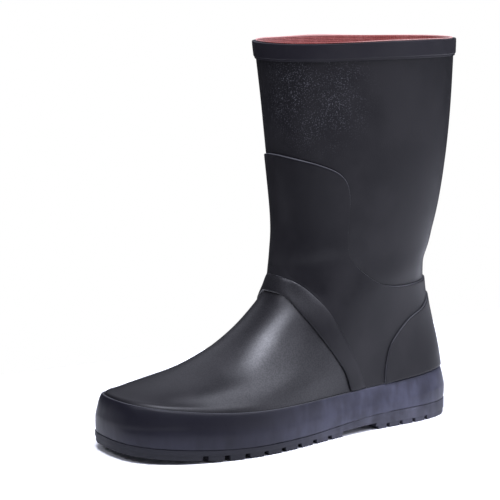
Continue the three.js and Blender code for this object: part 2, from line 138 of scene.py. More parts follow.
class FinishNet:
    """The nodes of one material."""

    def __init__(self, name: str) -> None:
        """Starts an empty material.

        Args:
            name: The material's name.
        """
        self.material = bpy.data.materials.new(name)
        self.material.use_nodes = True
        self.tree = self.material.node_tree
        self.tree.nodes.clear()
        self.place = self.node("ShaderNodeTexCoord", output="Object")

    def node(
        self,
        kind: str,
        settings: dict[str, object] | None = None,
        inputs: Inputs | None = None,
        output: int | str | None = 0,
    ) -> Wire | None:
        """Adds one node.

        Args:
            kind: Blender's name for the node's type.
            settings: The node's own settings, which are set first.
            inputs: A value or a Wire for each socket that differs from its default.
            output: Which output is returned, or None at the end of a net.

        Returns:
            The chosen output.
        """
        made = self.tree.nodes.new(kind)
        for name, value in (settings or {}).items():
            setattr(made, name, value)
        for key, value in (inputs or {}).items():
            if isinstance(value, Wire):
                self.tree.links.new(value.socket, made.inputs[key])
            else:
                made.inputs[key].default_value = value
        return None if output is None else Wire(self, made.outputs[output])

    def cloud(self, size: float, detail: float = 2.0, stretch: Point = (1.0, 1.0, 1.0)) -> Wire:
        """Soft noise in the boot's own space.

        Args:
            size: How large its spots are, in millimetres.
            detail: How many finer layers it has.
            stretch: How much longer the spots are along X, Y and Z.

        Returns:
            A value around 0.5.
        """
        turned = self.node(
            "ShaderNodeMapping",
            {"vector_type": "POINT"},
            {"Vector": self.place, "Scale": tuple(1.0 / part for part in stretch)},
        )
        return self.node(
            "ShaderNodeTexNoise",
            {"noise_dimensions": "3D"},
            {"Vector": turned, "Scale": 1.0 / (size * MM), "Detail": detail},
        )

    def part(self, axis: str, vector: Wire | None = None) -> Wire:
        """One part of a vector, or else of the place on the boot in metres."""
        inputs = {0: vector or self.place}
        return self.node("ShaderNodeSeparateXYZ", inputs=inputs, output=axis)

    def near(self, place: Point, reach: float) -> Wire:
        """How close a point of the surface is to a place.

        Args:
            place: The place, in millimetres.
            reach: Where the result has faded out, in millimetres.

        Returns:
            1 within a quarter of the reach, and 0 beyond it.
        """
        distance = self.node(
            "ShaderNodeVectorMath",
            {"operation": "DISTANCE"},
            {0: self.place, 1: tuple(part * MM for part in place)},
            output="Value",
        )
        return 1.0 - distance.between(0.25 * reach * MM, reach * MM)

    def blend(self, share: Wire, first: Colour | Wire, second: Colour | Wire) -> Wire:
        """Mixes two colours.

        Args:
            share: How much of the second colour there is.
            first: The first colour.
            second: The second colour.

        Returns:
            The mixed colour.
        """
        return self.node(
            "ShaderNodeMix",
            {"data_type": "RGBA", "clamp_factor": True},
            {0: share, 6: first, 7: second},
            output=2,
        )

    def relief(self, height: Wire, depth: float, under: Wire | None = None) -> Wire:
        """Bump from a height.

        Args:
            height: The height, from 0 to 1.
            depth: What a height of 1 stands for, in millimetres.
            under: A coarser bump that this one lies on.

        Returns:
            The bent normal.
        """
        inputs: Inputs = {"Strength": 1.0, "Distance": depth * MM, "Height": height}
        if under is not None:
            inputs["Normal"] = under
        return self.node("ShaderNodeBump", {}, inputs)

    def surface(self, **inputs: object) -> Material:
        """Closes the net with the shader.

        Args:
            **inputs: Values or wires for the shader's sockets, with _ for a space.

        Returns:
            The finished material.
        """
        named = {name.replace("_", " "): value for name, value in inputs.items()}
        shader = self.node("ShaderNodeBsdfPrincipled", {}, named)
        self.node("ShaderNodeOutputMaterial", {}, {"Surface": shader}, output=None)
        return self.material


@dataclass(frozen=True)
class RubberFinish:
    """Moulded black rubber with a soft gloss.

    Attributes:
        name: The material's name.
        deep: Colour of clean rubber.
        pale_tint: Colour where the rubber has a pale bloom or dust, and where the dust-and-light
            finish paints light.
        bloom_share: How much of the surface the bloom tints.
        cloud_size: Size of the bloom's patches, in millimetres.
        roughness: Roughness of the clean rubber.
        roughness_swing: How much rougher the bloom is.
        grain_size: Size of the mould's grain, in millimetres.
        grain_depth: Depth of the grain, in millimetres.
        swell_size: Size of the slow unevenness, in millimetres.
        swell_depth: Depth of that unevenness, in millimetres.
        gloss: The shader's specular level.
    """

    name: str
    deep: Colour = (0.0070, 0.0066, 0.0082, 1.0)
    pale_tint: Colour = (0.018, 0.017, 0.019, 1.0)
    bloom_share: float = 0.5
    cloud_size: float = 38.0
    roughness: float = 0.40
    roughness_swing: float = 0.08
    grain_size: float = 0.9
    grain_depth: float = 0.012
    swell_size: float = 26.0
    swell_depth: float = 0.25
    gloss: float = 0.17

    def material(self) -> Material:
        """Makes the material."""
        net = FinishNet(self.name)
        clouds = net.cloud(self.cloud_size, 4.0).between(0.38, 0.68)
        swell = net.relief(net.cloud(self.swell_size, 1.0), self.swell_depth)
        return self._plain(net, clouds * self.bloom_share, clouds, swell)

    def _plain(self, net: FinishNet, tint: Wire, clouds: Wire, swell: Wire) -> Material:
        """Closes the net of a rubber without a silky skin.

        Args:
            net: The finish's nodes.
            tint: How much of the pale tint's colour there is.
            clouds: The bloom's patches.
            swell: Bump of the slow unevenness.

        Returns:
            The finished material.
        """
        return net.surface(
            Base_Color=net.blend(tint, self.deep, self.pale_tint),
            Roughness=clouds * self.roughness_swing + self.roughness,
            Specular_IOR_Level=self.gloss,
            Normal=net.relief(net.cloud(self.grain_size, 1.0), self.grain_depth, swell),
        )


@dataclass(frozen=True)
class DustAndPaintedLightRubberFinish(RubberFinish):
    """Rubber near the ground, paler towards the heel and along its lower edge, partly from dust
    and partly from painted light.

    Attributes:
        dust_and_painted_light_from: Place along the boot where the dust and painted light start,
            in millimetres.
        dust_and_painted_light_to: Place where they are full, in millimetres.
        streak: Length along the boot of its soft upright streaks, in millimetres.
        streak_share: How much of the tint lies in the streaks.
        cloud_share: How much of it lies in the patches.
        even_share: How much of it is even.
        low_dust_and_painted_light: How much dust and painted light lie along the lower edge from
            the toe on.
        low_from: Height where the tint of the lower edge ends, in millimetres.
        low_to: Height where it is full, in millimetres.
    """

    dust_and_painted_light_from: float = -70.0
    dust_and_painted_light_to: float = 45.0
    streak: float = 9.0
    streak_share: float = 0.30
    cloud_share: float = 0.45
    even_share: float = 0.30
    low_dust_and_painted_light: float = 0.0
    low_from: float = 28.0
    low_to: float = 12.0
    swell_size: float = 16.0

    def material(self) -> Material:
        """Makes the material."""
        net = FinishNet(self.name)
        # Painted light: the pale tint grows towards the heel and along the lower edge, partly dust
        # and partly painted light.
        low = net.part("Z").between(self.low_from * MM, self.low_to * MM)
        dust_and_painted_light = net.part("Y").between(self.dust_and_painted_light_from * MM, self.dust_and_painted_light_to * MM)
        clouds = net.cloud(self.cloud_size, 4.0).between(0.30, 0.72)
        streaks = net.cloud(self.streak, 2.0, (1.0, 1.0, 4.0)).between(0.35, 0.70)
        tint_pattern = clouds * self.cloud_share + streaks * self.streak_share + self.even_share
        swell = net.relief(net.cloud(self.swell_size, 2.0, (1.0, 1.0, 2.0)), self.swell_depth)
        return self._plain(net, (dust_and_painted_light + low * self.low_dust_and_painted_light) * tint_pattern, clouds, swell)


@dataclass(frozen=True)
class LegRubberFinish(RubberFinish):
    """The leg's rubber, whose grain is coarser and drier towards the collar, with painted glints
    on the grain high on the leg.

    Attributes:
        grainy_from: Height above the ground where the grain starts to show, in millimetres.
        grainy_to: Height where it shows in full, in millimetres.
        dry_depth: Depth of the coarse grain, in millimetres.
        dry_roughness: How much rougher the rubber is there.
        painted_glint: Colour of the painted glints, paler specks that stand in for light glinting
            off the grain.
        glint_place: Where the painted glints lie, in millimetres.
        glint_reach: How far they reach from there, in millimetres.
        glint_size: Size of a speck, in millimetres.
        glint_patch: Size of the patches in which the specks lie, in millimetres.
        silky_place: Middle of the area with a silky skin, in millimetres.
        silky_reach: How far that skin reaches, in millimetres.
        silky_weight: Weight of that skin.
        silky_roughness: Roughness of that skin.
        silky_grain: Size of its grain, in millimetres.
        skin_grain: Size of the finest grain of the whole leg, in millimetres.
    """

    grainy_from: float = 120.0
    grainy_to: float = 225.0
    dry_depth: float = 0.05
    dry_roughness: float = 0.06
    painted_glint: Colour = (0.085, 0.085, 0.095, 1.0)
    glint_place: Point = (34.0, 0.0, 258.0)
    glint_reach: float = 58.0
    glint_size: float = 0.8
    glint_patch: float = 16.0
    silky_place: Point = (25.0, -36.0, 76.0)
    silky_reach: float = 125.0
    silky_weight: float = 0.45
    silky_roughness: float = 0.34
    silky_grain: float = 1.0
    skin_grain: float = 0.6

    def material(self) -> Material:
        """Makes the material."""
        net = FinishNet(self.name)
        clouds = net.cloud(self.cloud_size, 4.0).between(0.38, 0.68)
        grain = net.cloud(self.grain_size, 1.0)
        dry = net.part("Z").between(self.grainy_from * MM, self.grainy_to * MM)
        # Painted glints: specks of paler base colour that stand in for light glinting off the
        # grain near glint_place.
        patches = net.cloud(self.glint_patch, 3.0).between(0.25, 0.60)
        specks = net.cloud(self.glint_size, 1.0).between(0.56, 0.74) * patches
        painted_glints = specks * net.near(self.glint_place, self.glint_reach)
        rubber = net.blend(clouds * self.bloom_share, self.deep, self.pale_tint)
        silk = net.near(self.silky_place, self.silky_reach) * self.silky_weight
        fine = net.cloud(self.silky_grain, 1.0).between(0.36, 0.64)
        swell = net.relief(net.cloud(self.swell_size, 1.0), self.swell_depth)
        coarse = net.relief(grain * dry, self.dry_depth, swell)
        return net.surface(
            Base_Color=net.blend(painted_glints, rubber, self.painted_glint),
            Roughness=clouds * self.roughness_swing + dry * self.dry_roughness + self.roughness,
            Specular_IOR_Level=self.gloss,
            Coat_Weight=silk * (fine * 0.5 + clouds * 0.1 + 0.6),
            Coat_Roughness=self.silky_roughness,
            Normal=net.relief(net.cloud(self.skin_grain, 1.0), self.grain_depth, coarse),
        )


@dataclass(frozen=True)
class KnitFinish:
    """Fine machine knit, in ribs that run up the piece's own map.

    Attributes:
        name: The material's name.
        yarn: Colour of the raised yarn.
        shade: Colour between the ribs.
        fade: Colour of the paler, rubbed yarn.
        rib: Distance between two ribs, in millimetres.
        stitch: Height of a stitch, in millimetres.
        slant: How far a row of stitches climbs in each rib, in radians of its wave.
        depth: Depth of the stitches, in millimetres.
        fuzz_size: Size of the yarn's fuzz, in millimetres.
        worn_size: Size of the rubbed patches, in millimetres.
        roughness: Roughness of the knit.
        gloss: The shader's specular level.
        sheen: Weight of the soft sheen of its fibres.
        pale: Paler colour of the knit along the top of the rim.
        pale_from: Height where the paler edge starts, in millimetres.
        pale_to: Height where it is full, in millimetres.
    """

    name: str
    yarn: Colour = (0.30, 0.058, 0.050, 1.0)
    shade: Colour = (0.12, 0.018, 0.016, 1.0)
    fade: Colour = (0.42, 0.15, 0.135, 1.0)
    rib: float = 1.3
    stitch: float = 1.3
    slant: float = 2.6
    depth: float = 0.3
    fuzz_size: float = 0.8
    worn_size: float = 9.0
    roughness: float = 0.95
    gloss: float = 0.2
    sheen: float = 0.25
    pale: Colour = (0.50, 0.27, 0.25, 1.0)
    pale_from: float = 294.4
    pale_to: float = 296.0

    def material(self) -> Material:
        """Makes the material."""
        net = FinishNet(self.name)
        chart = net.node("ShaderNodeUVMap", {"uv_map": "knit"})
        ribs = (net.part("X", chart) * (math.pi / (self.rib * MM))).sine().magnitude()
        turns = net.part("Y", chart) * (2.0 * math.pi / (self.stitch * MM))
        rows = (turns + ribs * self.slant).sine() * 0.5 + 0.5
        yarn = ribs * (0.35 + rows * 0.65)
        fuzz = net.cloud(self.fuzz_size, 3.0)
        worn = net.cloud(self.worn_size, 3.0).between(0.40, 0.75)
        dyed = net.blend(yarn.between(0.15, 0.75), self.shade, self.yarn)
        faded = net.blend(worn * 0.25 + fuzz.between(0.45, 0.75) * 0.5, dyed, self.fade)
        edge = net.part("Z").between(self.pale_from * MM, self.pale_to * MM)
        return net.surface(
            Base_Color=net.blend(edge, faded, self.pale),
            Roughness=self.roughness,
            Specular_IOR_Level=self.gloss,
            Sheen_Weight=self.sheen,
            Sheen_Roughness=0.5,
            Normal=net.relief(yarn * 0.8 + fuzz * 0.2, self.depth),
        )


# Shaping


class Press(Enum):
    """Whether a soft fold is pressed in or stands up."""

    TROUGH = -1.0
    RIDGE = 1.0


@dataclass(frozen=True)
class SoftFold:
    """A soft crease across the rubber, in millimetres of the boot's own frame.

    Attributes:
        press: Trough or ridge.
        centre: Its middle, on the skin.
        across: The direction across the crease.
        width: How wide it is.
        reach: How far along it fades out.
        depth: How deep or high it is.
    """

    press: Press
    centre: Point
    across: Point
    width: float
    reach: float
    depth: float

    def lift(self, place: Vector) -> float:
        """How far the skin moves out at a place, both in millimetres."""
        offset = place - Vector(self.centre)
        side = offset.dot(Vector(self.across).normalized()) / self.width
        fade = 1.0 - smooth_step(0.35, 1.0, offset.length / self.reach)
        return self.press.value * self.depth * math.exp(-side * side) * fade


@dataclass(frozen=True)
class HandLife:
    """What moulding, standing and first wear do to the rubber's shape, in millimetres.

    Attributes:
        folds: The listed creases.
        swell: Height of the slow unevenness of hand-laid sheets.
        swell_size: Its length.
        sags: Where the collar's rim sags, as a direction in degrees from the toe over the outer
            side, a half width in degrees and a depth.
        rim_start: Height at which the rim's wave starts.
        rim_top: Height of the rim.
    """

    folds: tuple[SoftFold, ...]
    swell: float = 0.22
    swell_size: float = 48.0
    sags: tuple[tuple[float, float, float], ...] = (
        (18.0, 42.0, 2.1),
        (158.0, 26.0, 0.5),
        (222.0, 30.0, 1.2),
        (305.0, 20.0, 0.8),
    )
    rim_start: float = 248.0
    rim_top: float = 295.0

    def lift(self, place: Vector) -> float:
        """How far the skin moves out at a place, both in millimetres."""
        slow = noise.noise(place / self.swell_size) * self.swell
        return slow + sum(fold.lift(place) for fold in self.folds)

    def wave(self, place: Vector) -> Vector:
        """How the collar's rim sags at a place, both in millimetres."""
        share = smooth_step(self.rim_start, self.rim_top, place.z)
        around = math.degrees(math.atan2(place.x, LEG_MIDDLE - place.y))
        drop = 0.0
        for towards, width, depth in self.sags:
            turn = (around - towards + 180.0) % 360.0 - 180.0
            drop += depth * math.exp(-((turn / width) ** 2))
        return Vector((0.0, 0.0, -drop * share))

    def press(self, mesh: Mesh) -> None:
        """Moves the points of a finished mesh.

        Args:
            mesh: A mesh in metres.
        """
        normals = [Vector(normal.vector) for normal in mesh.vertex_normals]
        for vertex, normal in zip(mesh.vertices, normals):
            place = vertex.co / MM
            vertex.co += (normal * self.lift(place) + self.wave(place)) * MM


def sharp_edges(mesh: BMesh, degrees: float) -> list[BMEdge]:
    """The edges whose two faces meet at more than an angle.

    Args:
        mesh: The mesh.
        degrees: The angle between the two faces.

    Returns:
        The edges.
    """
    limit = math.radians(degrees)
    return [edge for edge in mesh.edges if edge.is_manifold and edge.calc_face_angle(0.0) > limit]


def only(parts: Iterable[object], kind: type) -> list:
    """The parts of one kind."""
    return [part for part in parts if isinstance(part, kind)]


def new_object(name: str, data: ID) -> Object:
    """Makes an object and puts it into the scene.

    Args:
        name: Its name.
        data: Its mesh, light or camera.

    Returns:
        The object, at the origin.
    """
    made = bpy.data.objects.new(name, data)
    bpy.context.scene.collection.objects.link(made)
    return made


def mesh_object(mesh: BMesh, name: str) -> Object:
    """Turns a bmesh into an object, and frees it.

    Args:
        mesh: The bmesh, in metres.
        name: The object's name.

    Returns:
        The object, at the origin.
    """
    data = bpy.data.meshes.new(name)
    mesh.to_mesh(data)
    mesh.free()
    return new_object(name, data)


class Blank:
    """A welded copy of a solid, which bmesh operators turn into a finished layer."""

    def __init__(self, source: Object) -> None:
        """Copies a solid and welds its points.

        Args:
            source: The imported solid's object, whose own mesh stays as it is.
        """
        self.mesh = bmesh.new()
        self.mesh.from_mesh(source.data)
        bmesh.ops.remove_doubles(self.mesh, verts=self.mesh.verts, dist=1e-6)

    def to_quads(self) -> Blank:
        """Joins the triangles in pairs."""
        bmesh.ops.join_triangles(
            self.mesh,
            faces=self.mesh.faces,
            angle_face_threshold=math.radians(60.0),
            angle_shape_threshold=math.radians(70.0),
        )
        return self

    def keep_outside(self) -> Blank:
        """Keeps only the wall's outer side, as one open sheet."""
        beside_leg = Vector((0.3, LEG_MIDDLE * MM, LEG_HEIGHT * MM))
        tree = BVHTree.FromBMesh(self.mesh)
        _, _, start, _ = tree.ray_cast(beside_leg, Vector((-1.0, 0.0, 0.0)))
        self.mesh.faces.ensure_lookup_table()
        found = {self.mesh.faces[start]}
        waiting = [self.mesh.faces[start]]
        while waiting:
            for edge in waiting.pop().edges:
                if edge.calc_face_angle(0.0) > math.radians(RIM_ANGLE):
                    continue
                for beside in edge.link_faces:
                    if beside not in found:
                        found.add(beside)
                        waiting.append(beside)
        rest = [face for face in self.mesh.faces if face not in found]
        bmesh.ops.delete(self.mesh, geom=rest, context="FACES")
        self.mesh.normal_update()
        return self

    def shrink(self, depth: float) -> Blank:
        """Moves the sheet in from where it is, by a depth in millimetres."""
        self.mesh.normal_update()
        for vertex in self.mesh.verts:
            vertex.co -= vertex.normal * depth * MM
        return self

    def thicken(self, depth: float) -> Blank:
        """Gives the open sheet a back and closes its two rims.

        Args:
            depth: The wall's thickness, in millimetres.

        Returns:
            The blank.
        """
        self.mesh.normal_update()
        rims = [edge for edge in self.mesh.edges if edge.is_boundary]
        sheet = [*self.mesh.verts, *self.mesh.edges, *self.mesh.faces]
        back = bmesh.ops.duplicate(self.mesh, geom=sheet)["geom"]
        for vertex in only(back, BMVert):
            vertex.co -= vertex.normal * depth * MM
        bmesh.ops.reverse_faces(self.mesh, faces=only(back, BMFace))
        rims += [edge for edge in only(back, BMEdge) if edge.is_boundary]
        for high in (True, False):
            pair = [edge for edge in rims if (edge.verts[0].co.z > HALF_HEIGHT * MM) == high]
            bmesh.ops.bridge_loops(self.mesh, edges=pair)
        bmesh.ops.recalc_face_normals(self.mesh, faces=self.mesh.faces)
        return self

    def reach_into(self, neighbour: BVHTree, within: float, depth: float) -> None:
        """Runs the layer's edge into a raised neighbour, so that they meet as one moulding.

        Args:
            neighbour: The neighbour's surface.
            within: Points closer than this are moved, in millimetres.
            depth: How far they go into it, in millimetres.
        """
        for vertex in self.mesh.verts:
            spot, _, _, distance = neighbour.find_nearest(vertex.co)
            if 0.0 < distance < within * MM:
                vertex.co = spot + (spot - vertex.co).normalized() * depth * MM

    def sink(self, skin: BVHTree, within: float, depth: float) -> None:
        """Sets the layer's back into what it lies on, so that no gap shows at its edge.

        Args:
            skin: The surface that the layer lies on.
            within: Points closer than this belong to the layer's back, in millimetres.
            depth: How far under the surface they go, in millimetres.
        """
        for vertex in self.mesh.verts:
            spot, normal, _, distance = skin.find_nearest(vertex.co)
            if distance < within * MM:
                vertex.co = spot - normal * depth * MM

    def round_edges(self, degrees: float, width: float, segments: int = 2) -> None:
        """Rounds the sharp edges.

        Args:
            degrees: An edge is sharp above this angle.
            width: How wide the rounding is, in millimetres.
            segments: How many strips it has.
        """
        bmesh.ops.bevel(
            self.mesh,
            geom=sharp_edges(self.mesh, degrees),
            offset=width * MM,
            offset_type="OFFSET",
            segments=segments,
            profile=0.5,
            affect="EDGES",
            clamp_overlap=True,
            material=-1,
        )

    def relax(self, times: int, above: float) -> None:
        """Evens the layer out, as its rubber does when it is moulded.

        Args:
            times: How often each point moves halfway to its neighbours.
            above: Points below this height stay, in millimetres.
        """
        free = [vertex for vertex in self.mesh.verts if vertex.co.z > above * MM]
        all_ways = {f"use_axis_{axis}": True for axis in "xyz"}
        for _ in range(times):
            bmesh.ops.smooth_vert(self.mesh, verts=free, factor=0.5, **all_ways)

    def mark_steps(self, skin: BVHTree) -> None:
        """Gives the narrow faces of the layer's step the second material, whose paler colour
        paints a highlight along the edge.

        Args:
            skin: The surface that the layer lies on.
        """
        self.mesh.normal_update()
        for face in self.mesh.faces:
            _, normal, _, _ = skin.find_nearest(face.calc_center_median())
            if abs(face.normal.dot(normal)) < STEP_AGREEMENT:
                face.material_index = 1

    def firm_edges(self, degrees: float, firmness: float) -> None:
        """Keeps the sharp edges firm where the layer is divided smoothly.

        Args:
            degrees: An edge is sharp above this angle.
            firmness: From 0, which is quite soft, to 1, which is a knife's edge.
        """
        crease = self.mesh.edges.layers.float.new("crease_edge")
        for edge in sharp_edges(self.mesh, degrees):
            edge[crease] = firmness

    def to_object(self, name: str) -> Object:
        """Makes the object.

        Args:
            name: The piece's name.

        Returns:
            The object, at the origin.
        """
        for face in self.mesh.faces:
            face.smooth = True
        return mesh_object(self.mesh, name)


def surface_of(source: Object) -> BVHTree:
    """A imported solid's surface as a search tree."""
    mesh = Blank(source).mesh
    tree = BVHTree.FromBMesh(mesh)
    mesh.free()
    return tree


def apply_modifiers(piece: Object) -> None:
    """Turns a piece's modifiers into its mesh.

    Args:
        piece: The object.
    """
    graph = bpy.context.evaluated_depsgraph_get()
    done = bpy.data.meshes.new_from_object(piece.evaluated_get(graph))
    piece.modifiers.clear()
    piece.data = done


def smooth_out(piece: Object, levels: int) -> None:
    """Subdivides a piece smoothly.

    Args:
        piece: The object.
        levels: How many times each face is divided.
    """
    subdivision = piece.modifiers.new("smooth", "SUBSURF")
    subdivision.levels = levels
    subdivision.render_levels = levels
    apply_modifiers(piece)


def dress(
    piece: Object,
    materials: list[Material],
    stands_for: Iterable[str] = (),
) -> Object:
    """Gives a finished piece its materials and its place in the object.

    Args:
        piece: The finished object.
        materials: Its materials.
        stands_for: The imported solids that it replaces.

    Returns:
        The piece.
    """
    picked = [face.material_index for face in piece.data.polygons]
    piece.data.materials.clear()
    for material in materials:
        piece.data.materials.append(material)
    piece.data.polygons.foreach_set("material_index", picked)
    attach(piece, BODY)
    for node in stands_for:
        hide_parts(node)
    log.info("%s: %d faces", piece.name, len(piece.data.polygons))
    return piece


# The boot's pieces


@dataclass
class MouldedLayer:
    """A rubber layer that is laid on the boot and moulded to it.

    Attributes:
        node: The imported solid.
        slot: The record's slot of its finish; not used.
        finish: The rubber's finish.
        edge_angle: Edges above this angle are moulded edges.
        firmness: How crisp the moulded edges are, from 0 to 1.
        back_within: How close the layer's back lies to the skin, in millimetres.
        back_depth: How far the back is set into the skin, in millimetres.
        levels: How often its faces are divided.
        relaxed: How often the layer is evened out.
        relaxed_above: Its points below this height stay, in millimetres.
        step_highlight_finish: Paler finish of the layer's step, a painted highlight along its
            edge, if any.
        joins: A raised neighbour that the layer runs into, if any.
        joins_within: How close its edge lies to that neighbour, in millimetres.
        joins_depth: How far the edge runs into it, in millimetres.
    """

    node: str
    slot: str
    finish: RubberFinish
    edge_angle: float = 42.0
    firmness: float = 0.6
    back_within: float = 0.75
    back_depth: float = 0.35
    levels: int = 3
    relaxed: int = 0
    relaxed_above: float = 45.0
    step_highlight_finish: RubberFinish | None = None
    joins: str | None = None
    joins_within: float = 1.6
    joins_depth: float = 1.3

    def build(self, nodes: Nodes, skin: BVHTree, life: HandLife) -> Object:
        """Makes the piece.

        Args:
            nodes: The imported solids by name.
            skin: The surface that the layer lies on.
            life: The boot's creases.

        Returns:
            The finished piece.
        """
        blank = Blank(nodes[self.node]).to_quads()
        blank.relax(self.relaxed, self.relaxed_above)
        blank.sink(skin, self.back_within, self.back_depth)
        if self.joins is not None:
            neighbour = surface_of(nodes[self.joins])
            blank.reach_into(neighbour, self.joins_within, self.joins_depth)
        if self.step_highlight_finish is not None:
            blank.mark_steps(skin)
        blank.firm_edges(self.edge_angle, self.firmness)
        piece = blank.to_object(f"{self.node}_moulded")
        smooth_out(piece, self.levels)
        life.press(piece.data)
        finishes = [self.finish, self.step_highlight_finish] if self.step_highlight_finish else [self.finish]
        materials = [finish.material() for finish in finishes]
        return dress(piece, materials, [self.node])


@dataclass
class Upper:
    """The foot and leg in one wall, with its knit lining.

    Attributes:
        slot: The record's slot of the rubber; not used.
        lining_slot: The record's slot of the knit; not used.
        finish: The rubber's finish.
        knit: The lining's finish.
        wall: Thickness of the rubber wall, in millimetres.
        edge_angle: Its edges above this angle are rounded.
        edge_width: Width of the rounding, in millimetres.
        levels: How often the faces of the wall and the lining are divided.
        lining_thickness: Thickness of the lining, in millimetres.
        lining_gap: Its distance from the wall, in millimetres.
        fold: Steps out and up in which the knit is folded over the rim, in millimetres.
        rim_reach: How far below the top an edge still belongs to the rim, in millimetres.
        rim_flatness: How much less the rim faces along the boot than a circle's would.
        mean_radius: Radius on which the knit's map is laid out, in millimetres.
    """

    slot: str = "upper_rubber"
    lining_slot: str = "lining_fabric"
    finish: RubberFinish = field(
        default_factory=lambda: LegRubberFinish("leg_rubber", swell_depth=0.12, grain_depth=0.03)
    )
    knit: KnitFinish = field(default_factory=lambda: KnitFinish("knit_lining"))
    wall: float = 2.2
    edge_angle: float = 62.0
    edge_width: float = 0.5
    levels: int = 2
    lining_thickness: float = 0.8
    lining_gap: float = 0.1
    fold: tuple[tuple[float, float], ...] = ((0.0, 0.5), (0.5, 0.35), (0.7, -0.05))
    rim_reach: float = 2.0
    rim_flatness: float = 0.6
    mean_radius: float = 68.0

    def build(self, nodes: Nodes, life: HandLife) -> Object:
        """Makes the rubber wall.

        Args:
            nodes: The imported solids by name.
            life: The boot's creases.

        Returns:
            The finished wall.
        """
        blank = Blank(nodes["upper"]).to_quads().keep_outside()
        blank.thicken(self.wall).round_edges(self.edge_angle, self.edge_width)
        piece = blank.to_object("upper_moulded")
        smooth_out(piece, self.levels)
        life.press(piece.data)
        return dress(piece, [self.finish.material()], ["upper"])

    def _chart(self, mesh: BMesh) -> None:
        """Lays the knit's map on the lining, in metres around and up the leg."""
        layer = mesh.loops.layers.uv.new("knit")
        for face in mesh.faces:
            middle = face.calc_center_median()
            home = math.atan2(middle.x, middle.y - LEG_MIDDLE * MM)
            for loop in face.loops:
                spot = loop.vert.co
                turn = math.atan2(spot.x, spot.y - LEG_MIDDLE * MM) - home
                turn = (turn + math.pi) % (2.0 * math.pi) - math.pi
                loop[layer].uv = ((home + turn) * self.mean_radius * MM, spot.z)

    def build_lining(self, nodes: Nodes, life: HandLife) -> Object:
        """Makes the knit lining, folded over the rim.

        Args:
            nodes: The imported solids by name.
            life: The boot's creases.

        Returns:
            The finished lining.
        """
        blank = Blank(nodes["upper"]).to_quads().keep_outside()
        mesh = blank.shrink(self.wall + self.lining_gap).mesh
        low = max(vertex.co.z for vertex in mesh.verts) - self.rim_reach * MM
        rim = [
            edge
            for edge in mesh.edges
            if edge.is_boundary and min(vertex.co.z for vertex in edge.verts) > low
        ]
        for out, rise in self.fold:
            made = bmesh.ops.extrude_edge_only(mesh, edges=rim)["geom"]
            rim = only(made, BMEdge)
            for vertex in {vertex for edge in rim for vertex in edge.verts}:
                along = (vertex.co.y - LEG_MIDDLE * MM) * self.rim_flatness
                away = Vector((vertex.co.x, along, 0.0)).normalized()
                vertex.co += (away * out + Vector((0.0, 0.0, rise))) * MM
        bmesh.ops.recalc_face_normals(mesh, faces=mesh.faces)
        blank.thicken(self.lining_thickness)
        piece = blank.to_object("knit_lining")
        smooth_out(piece, self.levels)
        life.press(piece.data)
        charted = bmesh.new()
        charted.from_mesh(piece.data)
        self._chart(charted)
        charted.to_mesh(piece.data)
        charted.free()
        return dress(piece, [self.knit.material()])


@dataclass
class Footbed:
    """The insole, a soft plate covered with the lining's knit.

    Attributes:
        slot: The record's slot of its finish; not used.
        knit: Its finish.
        edge_angle: Its edges above this angle are rounded.
        edge_width: Width of its rounded edge, in millimetres.
    """

    slot: str = "lining_fabric"
    knit: KnitFinish = field(default_factory=lambda: KnitFinish("knit_footbed"))
    edge_angle: float = 50.0
    edge_width: float = 1.2

    def build(self, nodes: Nodes) -> Object:
        """Makes the piece.

        Args:
            nodes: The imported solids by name.

        Returns:
            The finished insole.
        """
        blank = Blank(nodes["insole"]).to_quads()
        blank.round_edges(self.edge_angle, self.edge_width, 3)
        layer = blank.mesh.loops.layers.uv.new("knit")
        for face in blank.mesh.faces:
            for loop in face.loops:
                loop[layer].uv = loop.vert.co.xy
        piece = blank.to_object("insole_knit")
        return dress(piece, [self.knit.material()], ["insole"])


